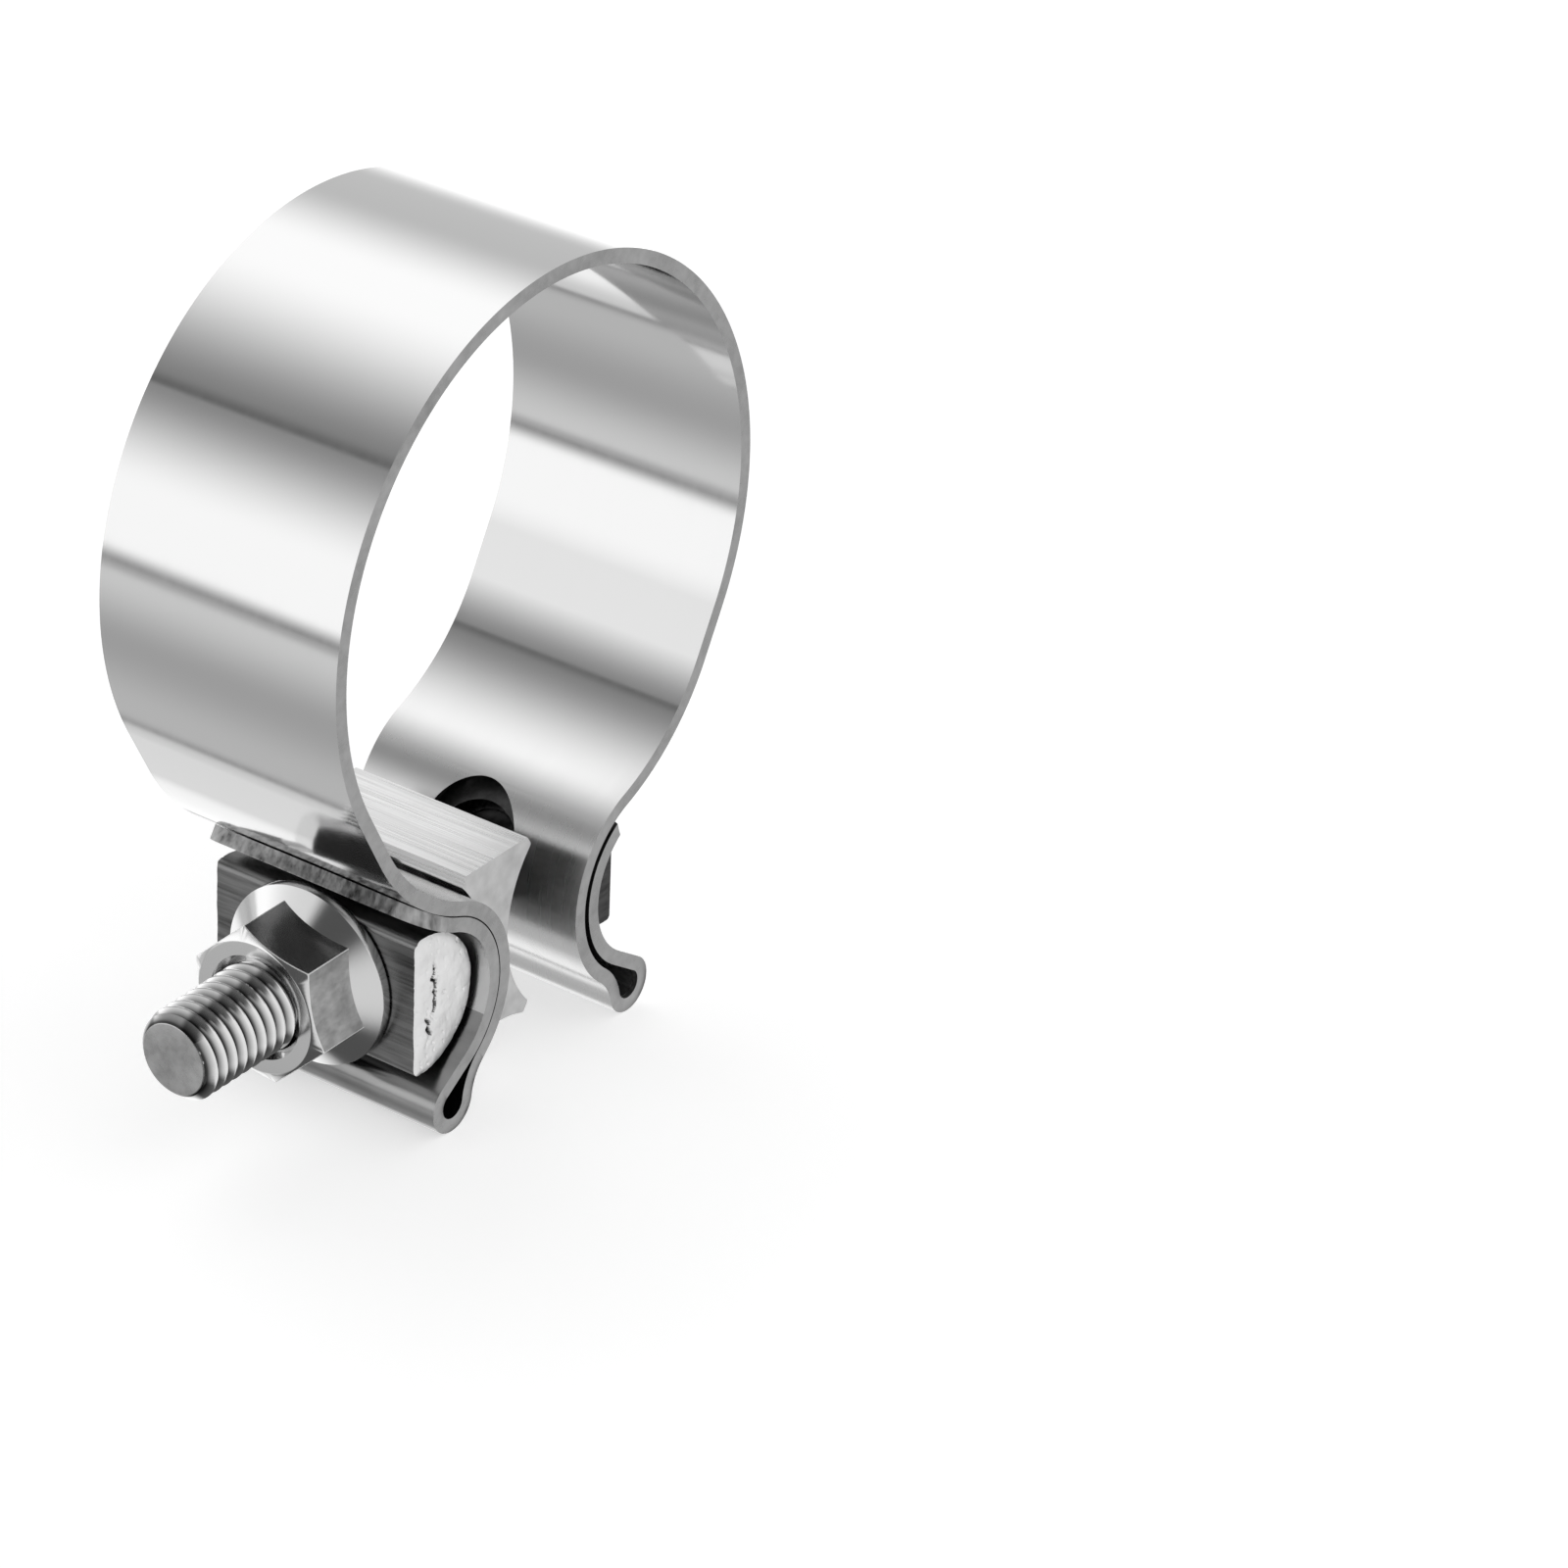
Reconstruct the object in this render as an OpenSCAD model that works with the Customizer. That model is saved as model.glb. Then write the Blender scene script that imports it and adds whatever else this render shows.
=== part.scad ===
// Single-bolt band clamp for pipe and hose.
// One steel strip is rolled into the ring and folded back at both ends. Each doubled end is a flange
// with a half-round channel and a teardrop fold at its foot. A T-bolt pulls the two flanges together
// through a half-round spacer bar, over a waisted reaction block.
// X runs along the bolt towards its head, Y along the pipe and Z up. The origin is the ring's centre.

/* [Ring] */
// Radius of the ring's bore
bore_r = 32.4; // [26:0.1:44]
// Width of the strip, along the pipe
band_w = 30; // [26:0.5:40]
// Thickness of the strip
band_t = 1.6; // [1.2:0.1:2.2]
// Direction from the ring's centre in which its round part ends, in degrees below level
ring_end = 28; // [20:1:34]
// Radius of the bend that leads the strip from the ring into a flange
blend_r = 24; // [16:0.5:26]

/* [Flanges] */
// Gap between the two flanges at their closest
opening = 11.2; // [9:0.2:18]
// From the lowest point of the bore down to the bolt's axis
axis_drop = 10.8; // [10:0.1:13]
// Radius of the half-round channels
channel_r = 8.8; // [7.6:0.1:9.2]
// Gap between the two layers of the flange on the nut's side
nut_layer_gap = 0.15; // [0.1:0.05:0.8]
// Gap between the two layers of the flange on the head's side
head_layer_gap = 0.7; // [0.1:0.05:1]
// Folded strip beyond its channel on the nut's side, at the middle of its rounded end
nut_lip = 8.8; // [3.5:0.1:10]
// Folded strip beyond its channel on the head's side, at the middle of its rounded end
head_lip = 0.3; // [0.1:0.1:8]
// How much longer the strip's rounded ends are at their middle
lip_crown = 2.4; // [1:0.1:3]

/* [Folds] */
// Inside radius of the fold at a flange's foot
fold_r = 1.6; // [1:0.1:1.8]
// Centre of the fold below the lowest point of the channel
fold_drop = 3.7; // [3:0.1:4.7]
// Centre of the fold from the channel's centre, towards the gap
fold_shift = 2.9; // [1.6:0.1:3.2]
// Radius of the pinch above the fold
pinch_r = 6; // [4:0.5:10]

/* [Bolt slots] */
// Width of the slots
slot_w = 12; // [11:0.1:13]
// Reach of the slots in the outer layer above the bolt's axis
slot_up = 9.8; // [7:0.1:10]
// Reach of the slots in the outer layer below the bolt's axis
slot_down = 6; // [5.7:0.1:7.5]
// Reach of the slots in the folded layer either side of the bolt's axis
fold_slot_reach = 6.8; // [6.6:0.1:7.2]

/* [T-bolt] */
// Outer diameter of the shank
bolt_d = 10; // [9:0.1:10.2]
// Shank that stands out past the nut's front face
bolt_tail = 12.6; // [6:0.1:20]
// Chamfer at the shank's free end
bolt_chamfer = 0.9; // [0.5:0.1:1.2]
// Length of the half-round head, along the pipe
head_len = 19; // [14:0.5:24]
// Straight sides of the head behind its half-round
head_flat = 0.8; // [0.6:0.1:2]
// Rounding of the head's two long corners
head_corner = 0.5; // [0.3:0.1:0.6]

/* [Flange nut] */
// Width across the hexagon's flats
nut_af = 15.3; // [14:0.1:17]
// Height of the nut with its flange
nut_h = 9.5; // [8:0.1:11]
// Diameter of the nut's flange
nut_flange_d = 20.4; // [19.6:0.1:21.8]
// Thickness of the flange's rim
nut_rim = 1.4; // [1:0.1:2]
// Slope of the flange's cone, in degrees from the flange's face
nut_slope = 33; // [20:1:40]
// Chamfer of the hexagon's front corners, in degrees from the front face
nut_chamfer = 30; // [15:1:35]
// Edge of the round front face, inside the hexagon's flats
nut_face_inset = 0.25; // [0.1:0.05:0.6]
// Top of the flange's cone, inside the hexagon's flats
nut_cone_inset = 0.45; // [0.2:0.05:1]
// Depth of the countersinks at both ends of the nut's thread
nut_mouth = 0.8; // [0.4:0.1:1]
// Turn of the hexagon about the bolt, in degrees
nut_turn = -13.6; // [-30:0.1:30]

/* [Spacer bar] */
// Straight sides of the bar behind its half-round
bar_flat = 1.2; // [1:0.1:2]
// Distance of the bar's ends from the strip's edges
bar_inset = 1.6; // [0.5:0.1:4]
// Rounding of the bar's two long corners
bar_corner = 0.9; // [0.3:0.1:1]

/* [Reaction block] */
// Length of the block, along the pipe
block_len = 22.8; // [18:0.1:25]
// Thickness of the block at its waist
block_waist = 4; // [3:0.1:5]
// Radius of the block's hollow sides
block_side_r = 14; // [13:0.1:18]
// Height of the chamfers at the block's four long corners
block_chamfer = 0.9; // [0.6:0.1:1.4]
// Width of the chamfers at the block's four long corners
block_chamfer_w = 0.6; // [0.3:0.1:0.9]
// Flats left beside the block's hollows
block_land = 0.3; // [0.2:0.1:0.6]
// Rise of the hollow underside at its middle
block_arch = 0.9; // [0.4:0.1:1.2]

/* [Clearances] */
// Between a half-round piece and its channel
channel_clear = 0.7; // [0.2:0.05:0.8]
// Between the block's waist and the flange that it leans on
block_clear = 0.2; // [0.15:0.05:0.4]
// Between the block's top and the bore
bore_clear = 0.15; // [0.1:0.05:0.5]
// Around the shank in the holes of the bar and the block
hole_clear = 0.4; // [0.25:0.05:0.5]
// Between the shank and the nut's thread
thread_clear = 0.05; // [0.03:0.01:0.09]
// Between the nut and the bar that it bears on
nut_clear = 0.05; // [0.02:0.01:0.3]

/* [Hidden] */
$fn = 96;
ring_fn = 180;
hex_sides = 6;

// Reach of a cut beyond the faces that it opens
past = 1;
// Left on the rolled strip inside the ring, and taken off when the bore is sized
skim = 0.02;
rolled_r = bore_r - skim;
// Furthest that the strip's outline may stray from its true bends
chord_error = 0.012;

axis_z = -(bore_r + axis_drop);
fold_outer_r = fold_r + band_t;
fold_below_axis = channel_r + fold_drop;
half_round_r = channel_r - channel_clear;
hole_r = bolt_d / 2 + hole_clear;

function dir(a) = [cos(a), sin(a)];
function heading(from, to) = atan2(to[1] - from[1], to[0] - from[0]);
function full_turn(a) = (a % 360 + 360) % 360;
function mirrored(points) = [for (p = points) [-p[0], p[1]]];
function reversed(list) = [for (i = [len(list) - 1:-1:0]) list[i]];
function joined(lists) = [for (list = lists) each list];

// Points along a bend, close enough together for its outline to stay true
function bend_steps(r, turn) = ceil(abs(turn) / (2 * acos(1 - chord_error / r)));
function bend_points(centre, r, from, to, steps) =
    [for (i = [0:steps]) centre + r * dir(from + (to - from) * i / steps)];

// Each flange is worked out on the head's side, by the gap between its two layers
function flange_r(gap) = channel_r + 2 * band_t + gap;
function channel_centre(gap) = [opening / 2 + flange_r(gap), axis_z];
function fold_centre(gap) = channel_centre(gap) - [fold_shift, fold_below_axis];

// Centre of the bend between the ring and the flange. It touches the flange's face, and a straight
// neck joins it to the end of the ring's arc.
function blend_centre(gap) =
    let (
        c = channel_centre(gap),
        across = rolled_r - blend_r,
        out = dir(-ring_end),
        along = dir(-ring_end - 90),
        neck = c * along - sqrt(pow(blend_r + flange_r(gap), 2) - pow(c * out - across, 2))
    )
    across * out + neck * along;

// Direction from that centre to the place where the flange begins
function neck_dir(gap) = heading(blend_centre(gap), channel_centre(gap));

// Radii about that centre of the folded layer's two faces, and the turn that a length of it takes
function lip_outer_r(gap) = blend_r + band_t + gap;
function lip_inner_r(gap) = lip_outer_r(gap) + band_t;
function lip_turn(gap, length) = length / lip_inner_r(gap) * 180 / PI;

// Direction from the channel's centre to the place where the folded layer leaves the channel
fold_span = norm([fold_shift, fold_below_axis]);
fold_dir = 180 + atan2(fold_below_axis, fold_shift);
foot_dir = fold_dir - acos((channel_r + fold_outer_r) / fold_span);

// Centre of the pinch, a circle that touches the flange's outer face and the fold's outer face
function pinch_centre(gap) =
    let (
        a = flange_r(gap) + pinch_r,
        b = fold_outer_r + pinch_r,
        turn = acos((a * a + fold_span * fold_span - b * b) / (2 * a * fold_span))
    )
    channel_centre(gap) + a * dir(fold_dir - turn);

// Bend table of one flange, from the ring to the strip's end: centre, first and last direction,
// and the radius of the strip's inner face, which is the one that the bore is in, and its outer face
function bend_table(gap, lip) =
    let (
        b = blend_centre(gap),
        c = channel_centre(gap),
        p = pinch_centre(gap),
        f = fold_centre(gap),
        neck = neck_dir(gap),
        pinch_from = full_turn(heading(c, p)),
        pinch_to = full_turn(heading(f, p))
    )
    [
        [b, -ring_end, neck, blend_r, blend_r + band_t],
        [c, neck + 180, pinch_from, flange_r(gap), flange_r(gap) - band_t],
        [p, pinch_from - 180, pinch_to - 180, pinch_r, pinch_r + band_t],
        [f, pinch_to, foot_dir + 180, fold_outer_r, fold_r],
        [c, foot_dir, neck + 180, channel_r, channel_r + band_t],
        [b, neck, neck + lip_turn(gap, lip), lip_inner_r(gap), lip_outer_r(gap)]
    ];

// One face of a flange, from the ring to the strip's end. The straights lie between the bends.
function face_points(gap, lip, face) =
    joined([
        for (b = bend_table(gap, lip))
            bend_points(b[0], b[face], b[1], b[2], bend_steps(max(b[3], b[4]), b[2] - b[1]))
    ]);
INNER = 3;
OUTER = 4;

// Places along the bolt, from the bar in its channel out to the shank's free end
bar_crown_x = half_round_r - channel_centre(nut_layer_gap)[0];
bar_flat_x = bar_crown_x - half_round_r - bar_flat;
nut_seat_x = bar_flat_x - nut_clear;
bolt_end_x = nut_seat_x - nut_h - bolt_tail;
head_crown_x = channel_centre(head_layer_gap)[0] - half_round_r;

block_x = block_clear + (block_waist - opening) / 2;
block_half_h = axis_drop - bore_clear;
block_side_h = block_half_h - block_chamfer - block_land;
block_half_w = block_waist / 2 + block_side_r - sqrt(pow(block_side_r, 2) - pow(block_side_h, 2));

// Outlines are drawn in X and Z and given their length along Y
module along_pipe(length) {
    rotate([90, 0, 0])
        linear_extrude(height = length, center = true)
            children();
}

// Shapes turned on Z are laid along the bolt, from a place on it towards its free end
module along_bolt(x) {
    translate([x, 0, axis_z])
        rotate([0, -90, 0])
            children();
}

// Section of the whole strip, from its end on the head's side to its end on the nut's side
module strip_section() {
    from = -ring_end;
    to = 180 + ring_end;
    steps = bend_steps(rolled_r + band_t, to - from);
    polygon(joined([
        reversed(face_points(head_layer_gap, head_lip, OUTER)),
        bend_points([0, 0], rolled_r + band_t, from, to, steps),
        mirrored(face_points(nut_layer_gap, nut_lip, OUTER)),
        mirrored(reversed(face_points(nut_layer_gap, nut_lip, INNER))),
        bend_points([0, 0], rolled_r, to, from, steps),
        face_points(head_layer_gap, head_lip, INNER)
    ]));
}

// Round-ended slot along the bolt, through the layer of a flange that lies between two radii
module slot(gap, up, down, r_in, r_out) {
    c = channel_centre(gap);
    top = up - slot_w / 2;
    bottom = down - slot_w / 2;
    intersection() {
        mirror([1, 0, 0])
            along_bolt(0)
                linear_extrude(height = c[0])
                    union() {
                        translate([top, 0])
                            circle(d = slot_w);
                        translate([-bottom, 0])
                            circle(d = slot_w);
                        translate([-bottom, -slot_w / 2])
                            square([top + bottom, slot_w]);
                    }
        along_pipe(slot_w + 2 * past)
            translate(c)
                difference() {
                    circle(r = r_out);
                    circle(r = r_in);
                }
    }
}

// The room that the folded layer's end lies in, from half the gap to beyond its other face
module end_room(gap, turn) {
    b = blend_centre(gap);
    c = channel_centre(gap);
    neck = neck_dir(gap);
    back = (lip_crown + 2 * past) / channel_r * 180 / PI;
    steps = bend_steps(lip_inner_r(gap), back);
    polygon(joined([
        bend_points(c, channel_r + band_t + gap / 2, neck + 180 + back, neck + 180, steps),
        bend_points(b, lip_outer_r(gap) - gap / 2, neck, neck + turn, steps),
        bend_points(b, lip_inner_r(gap) + past, neck + turn, neck, steps),
        bend_points(c, channel_r - past, neck + 180, neck + 180 + back, steps)
    ]));
}

// What is cut from the corners of the strip's end to leave it rounded
module end_cut(gap, lip) {
    end_r = (band_w * band_w / 4 + lip_crown * lip_crown) / (2 * lip_crown);
    tip_dir = neck_dir(gap) + lip_turn(gap, lip);
    tip = blend_centre(gap) + lip_inner_r(gap) * dir(tip_dir);
    difference() {
        along_pipe(band_w + 2 * past)
            end_room(gap, lip_turn(gap, lip + past));
        translate([tip[0], 0, tip[1]])
            rotate([0, -(tip_dir + 90), 0])
                translate([-end_r, 0, 0])
                    cylinder(r = end_r, h = band_w, center = true);
    }
}

// Everything that is cut from one flange, on the head's side
module flange_cuts(gap, lip) {
    between = channel_r + band_t + gap / 2;
    slot(gap, slot_up, slot_down, between, flange_r(gap) + past);
    slot(gap, fold_slot_reach, fold_slot_reach, channel_r - past, between);
    end_cut(gap, lip);
}

module band() {
    color("lightgray")
        difference() {
            along_pipe(band_w)
                strip_section();
            along_pipe(band_w + 2 * past)
                circle(r = bore_r, $fn = ring_fn);
            flange_cuts(head_layer_gap, head_lip);
            mirror([1, 0, 0])
                flange_cuts(nut_layer_gap, nut_lip);
        }
}

// Half-round section with its crown at the origin and its flat face towards -X
module half_round(flat, corner) {
    depth = half_round_r + flat;
    translate([-half_round_r, 0])
        intersection() {
            circle(r = half_round_r);
            translate([0, -half_round_r])
                square([half_round_r, 2 * half_round_r]);
        }
    translate([corner - depth, -half_round_r])
        square([flat - corner, 2 * half_round_r]);
    translate([-depth, corner - half_round_r])
        square([corner, 2 * (half_round_r - corner)]);
    for (side = [-1, 1])
        translate([corner - depth, side * (half_round_r - corner)])
            circle(r = corner);
}

module spacer_bar() {
    color("gray")
        difference() {
            translate([bar_crown_x, 0, axis_z])
                along_pipe(band_w - 2 * bar_inset)
                    half_round(bar_flat, bar_corner);
            along_bolt(bar_crown_x + past)
                cylinder(r = hole_r, h = half_round_r + bar_flat + 2 * past);
        }
}

// Section of the block: chamfered corners, hollow sides and a hollow underside
module block_section() {
    w = block_half_w;
    w_end = block_half_w - block_chamfer_w;
    h = block_half_h;
    h_side = block_half_h - block_chamfer;
    arch_half = w_end - block_land;
    arch_r = (arch_half * arch_half + block_arch * block_arch) / (2 * block_arch);
    difference() {
        polygon([
            [-w_end, h], [-w, h_side], [-w, -h_side], [-w_end, -h],
            [w_end, -h], [w, -h_side], [w, h_side], [w_end, h]
        ]);
        for (side = [-1, 1])
            translate([side * (block_waist / 2 + block_side_r), 0])
                circle(r = block_side_r);
        translate([0, block_arch - h - arch_r])
            circle(r = arch_r);
    }
}

module reaction_block() {
    color("silver")
        difference() {
            translate([block_x, 0, axis_z])
                along_pipe(block_len)
                    block_section();
            along_bolt(block_x + block_half_w)
                cylinder(r = hole_r, h = 2 * block_half_w);
        }
}

module t_bolt() {
    color("darkgray") {
        translate([head_crown_x, 0, axis_z])
            mirror([1, 0, 0])
                along_pipe(head_len)
                    half_round(head_flat, head_corner);
        along_bolt(head_crown_x + half_round_r / 2)
            cylinder(d = bolt_d, h = head_crown_x + half_round_r / 2 - bolt_end_x - bolt_chamfer);
        along_bolt(bolt_end_x + bolt_chamfer)
            cylinder(d1 = bolt_d, d2 = bolt_d - 2 * bolt_chamfer, h = bolt_chamfer);
    }
}

// Hexagon of the nut, with its front corners turned down
module nut_hexagon() {
    face_r = nut_af / 2 - nut_face_inset;
    intersection() {
        cylinder(r = nut_af / 2 / cos(180 / hex_sides), h = nut_h, $fn = hex_sides);
        cylinder(r1 = face_r + nut_h / tan(nut_chamfer), r2 = face_r, h = nut_h);
    }
}

// Flange of the nut: a flat rim, and a cone up to the hexagon
module nut_flange() {
    rim_r = nut_flange_d / 2;
    top_r = nut_af / 2 - nut_cone_inset;
    cylinder(r = rim_r, h = nut_rim);
    translate([0, 0, nut_rim])
        cylinder(r1 = rim_r, r2 = top_r, h = (rim_r - top_r) * tan(nut_slope));
}

// Threaded hole of the nut, countersunk at both ends
module nut_hole() {
    r = bolt_d / 2 + thread_clear;
    translate([0, 0, -past])
        cylinder(r = r, h = nut_h + 2 * past);
    translate([0, 0, nut_h - nut_mouth])
        cylinder(r1 = r, r2 = r + 2 * nut_mouth, h = 2 * nut_mouth);
    translate([0, 0, -nut_mouth])
        cylinder(r1 = r + 2 * nut_mouth, r2 = r, h = 2 * nut_mouth);
}

module flange_nut() {
    color("lightgray")
        along_bolt(nut_seat_x)
            rotate(-nut_turn)
                difference() {
                    union() {
                        nut_flange();
                        nut_hexagon();
                    }
                    nut_hole();
                }
}

band();
spacer_bar();
reaction_block();
t_bolt();
flange_nut();
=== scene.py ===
"""Dressed model of a single-bolt band clamp, made around its CAD frame.

Every piece is modelled in millimetres on the bench, and brought to metres when it is done.
X runs along the bolt towards its head, Y along the pipe and Z up. The origin is the ring's centre.
"""

import logging
import math
from collections.abc import Callable, Iterator, Sequence
from contextlib import contextmanager
from dataclasses import dataclass, field
from enum import Enum

import bpy
from mathutils import Matrix, Vector, noise


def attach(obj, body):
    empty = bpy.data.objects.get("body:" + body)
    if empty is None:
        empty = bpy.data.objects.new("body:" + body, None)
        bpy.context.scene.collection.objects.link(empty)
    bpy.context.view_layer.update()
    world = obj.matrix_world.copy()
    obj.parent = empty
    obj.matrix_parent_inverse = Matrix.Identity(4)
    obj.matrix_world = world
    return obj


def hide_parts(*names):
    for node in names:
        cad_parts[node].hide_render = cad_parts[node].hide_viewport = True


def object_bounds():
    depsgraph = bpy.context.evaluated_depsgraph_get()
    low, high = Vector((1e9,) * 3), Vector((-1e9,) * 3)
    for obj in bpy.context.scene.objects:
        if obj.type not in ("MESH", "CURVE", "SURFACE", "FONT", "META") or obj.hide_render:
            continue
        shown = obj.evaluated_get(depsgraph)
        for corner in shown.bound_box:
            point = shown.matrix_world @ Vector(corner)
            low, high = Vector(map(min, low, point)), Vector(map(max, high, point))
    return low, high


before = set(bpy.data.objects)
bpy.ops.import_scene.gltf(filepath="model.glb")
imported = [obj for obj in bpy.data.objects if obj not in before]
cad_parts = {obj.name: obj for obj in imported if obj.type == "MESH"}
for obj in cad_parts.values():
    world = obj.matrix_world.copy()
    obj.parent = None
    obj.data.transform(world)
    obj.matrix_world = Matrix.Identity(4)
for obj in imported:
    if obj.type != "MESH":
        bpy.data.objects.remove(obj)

log = logging.getLogger("band_clamp")
CAD_BOX = [list(corner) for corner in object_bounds()]

MM = 0.001
MERGE = 1e-4
SMOOTH_UP_TO = 30
HALF_SIDE = 30
Point = tuple[float, float]
FaceTest = Callable[[Vector, Vector], bool]


class Along(Enum):
    """Direction that a round or long shape lies in, as a turn of Blender's own Z."""

    BOLT = (0.0, math.pi / 2, 0.0)
    PIPE = (math.pi / 2, 0.0, 0.0)


class Side(Enum):
    """Which of the two flanges, by its sign on X."""

    HEAD = 1
    NUT = -1


# ---- Bench: modelling steps that several pieces share


def take(piece: bpy.types.Object) -> None:
    """Makes piece the only selected object, and the active one."""
    for other in bpy.context.selected_objects:
        other.select_set(False)
    piece.select_set(True)
    bpy.context.view_layer.objects.active = piece


@contextmanager
def editing(piece: bpy.types.Object, kind: str = "FACE", whole: bool = True) -> Iterator[None]:
    """Opens piece in edit mode for the operators inside the block.

    Args:
        piece: The mesh object to edit.
        kind: Selection mode, VERT, EDGE or FACE.
        whole: Whether the whole mesh is selected at first, and not what was picked.
    """
    take(piece)
    bpy.ops.object.mode_set(mode="EDIT")
    bpy.ops.mesh.select_mode(type=kind)
    if whole:
        bpy.ops.mesh.select_all(action="SELECT")
    yield
    bpy.ops.object.mode_set(mode="OBJECT")


def turn_outwards(weld: bool) -> None:
    """Turns all the faces outwards in edit mode.

    Args:
        weld: Whether doubled points are merged first.
    """
    bpy.ops.mesh.select_all(action="SELECT")
    if weld:
        bpy.ops.mesh.remove_doubles(threshold=MERGE)
    bpy.ops.mesh.normals_make_consistent(inside=False)


def pick(piece: bpy.types.Object, parts: str, wanted: Callable[..., bool]) -> None:
    """Selects the points or faces that pass a test, and nothing else.

    Args:
        piece: The mesh object, in object mode.
        parts: Which of them, vertices or polygons.
        wanted: Test on one of them.
    """
    mesh = piece.data
    for part in (*mesh.vertices, *mesh.edges, *mesh.polygons):
        part.select = False
    for part in getattr(mesh, parts):
        part.select = wanted(part)


def settle(piece: bpy.types.Object) -> bpy.types.Object:
    """Puts piece's place, turn and scale into its mesh, and returns it."""
    take(piece)
    bpy.ops.object.transform_apply(location=True, rotation=True, scale=True)
    return piece


def modify(piece: bpy.types.Object, kind: str, **settings: object) -> None:
    """Adds a modifier to piece and applies it.

    Args:
        piece: The mesh object.
        kind: Blender's name of the modifier type.
        **settings: Values of the modifier's own properties.
    """
    take(piece)
    step = piece.modifiers.new(kind.title(), kind)
    for key, value in settings.items():
        setattr(step, key, value)
    bpy.ops.object.modifier_apply(modifier=step.name)


def combine(piece: bpy.types.Object, tool: bpy.types.Object, how: str = "DIFFERENCE") -> None:
    """Cuts piece with a closed tool, joins it or keeps what they share, and removes the tool."""
    modify(piece, "BOOLEAN", object=tool, operation=how, solver="EXACT")
    bpy.data.objects.remove(tool, do_unlink=True)


def rod(
    radius: float, length: float, along: Along, centre: Sequence[float], sides: int = 96
) -> bpy.types.Object:
    """A bar with flat ends about its middle, with that many facets round it."""
    bpy.ops.mesh.primitive_cylinder_add(
        vertices=sides, radius=radius, depth=length, location=centre, rotation=along.value
    )
    return settle(bpy.context.object)


def brick(low: Sequence[float], high: Sequence[float]) -> bpy.types.Object:
    """A rectangular block between two corners.

    Args:
        low: Its lowest corner.
        high: Its highest corner.

    Returns:
        The new object.
    """
    middle = [(a + b) / 2 for a, b in zip(low, high)]
    bpy.ops.mesh.primitive_cube_add(size=1, location=middle)
    block = bpy.context.object
    block.scale = [b - a for a, b in zip(low, high)]
    return settle(block)


def wire(points: Sequence[Sequence[float]], closed: bool) -> bpy.types.Object:
    """A chain of edges, the start of a turned, pressed or threaded shape.

    Args:
        points: Its corners in order.
        closed: Whether the last corner joins the first.

    Returns:
        The new object.
    """
    count = len(points)
    edges = [(i, (i + 1) % count) for i in range(count if closed else count - 1)]
    mesh = bpy.data.meshes.new("wire")
    mesh.from_pydata([tuple(p) for p in points], edges, [])
    chain = bpy.data.objects.new("wire", mesh)
    bpy.context.scene.collection.objects.link(chain)
    return chain


def prism(outline: Sequence[Point], y_from: float, y_to: float) -> bpy.types.Object:
    """A solid of one section along the pipe.

    Args:
        outline: Corners of the section, in X and Z.
        y_from: Where it starts.
        y_to: Where it ends.

    Returns:
        The new object.
    """
    solid = wire([(x, y_from, z) for x, z in outline], closed=True)
    with editing(solid, "VERT"):
        bpy.ops.mesh.edge_face_add()
        bpy.ops.mesh.extrude_region_move(TRANSFORM_OT_translate={"value": (0, y_to - y_from, 0)})
        turn_outwards(weld=False)
    return solid


def turned(profile: Sequence[Point], axis_z: float, sides: int = 128) -> bpy.types.Object:
    """A solid of revolution about a line along X.

    Args:
        profile: Pairs of X and radius, the first and last on the axis.
        axis_z: Height of the axis.
        sides: Facets round it.

    Returns:
        The new object.
    """
    solid = wire([(x, 0.0, axis_z + radius) for x, radius in profile], closed=False)
    with editing(solid, "VERT"):
        bpy.ops.mesh.spin(steps=sides, angle=math.tau, center=(0, 0, axis_z), axis=(1, 0, 0))
        turn_outwards(weld=True)
    return solid


def arc(centre: Point, radius: float, start: float, end: float, steps: int) -> list[Point]:
    """Points along an arc, both ends included, by degrees from +X towards +Z and a number of chords."""
    turns = [math.radians(start + (end - start) * i / steps) for i in range(steps + 1)]
    return [(centre[0] + radius * math.cos(t), centre[1] + radius * math.sin(t)) for t in turns]


def round_edges(piece: bpy.types.Object, width: float, angle: float) -> None:
    """Rounds every edge that turns by more than an angle, in degrees."""
    modify(
        piece, "BEVEL", width=width, segments=2, limit_method="ANGLE", angle_limit=math.radians(angle)
    )


def open_edges(piece: bpy.types.Object) -> int:
    """How many edges of piece don't lie between exactly two faces."""
    uses = [0] * len(piece.data.edges)
    for loop in piece.data.loops:
        uses[loop.edge_index] += 1
    return sum(use != 2 for use in uses)


# ---- Finishes


def grey(level: float) -> tuple[float, float, float, float]:
    """An opaque neutral colour."""
    return (level, level, level, 1.0)


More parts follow.
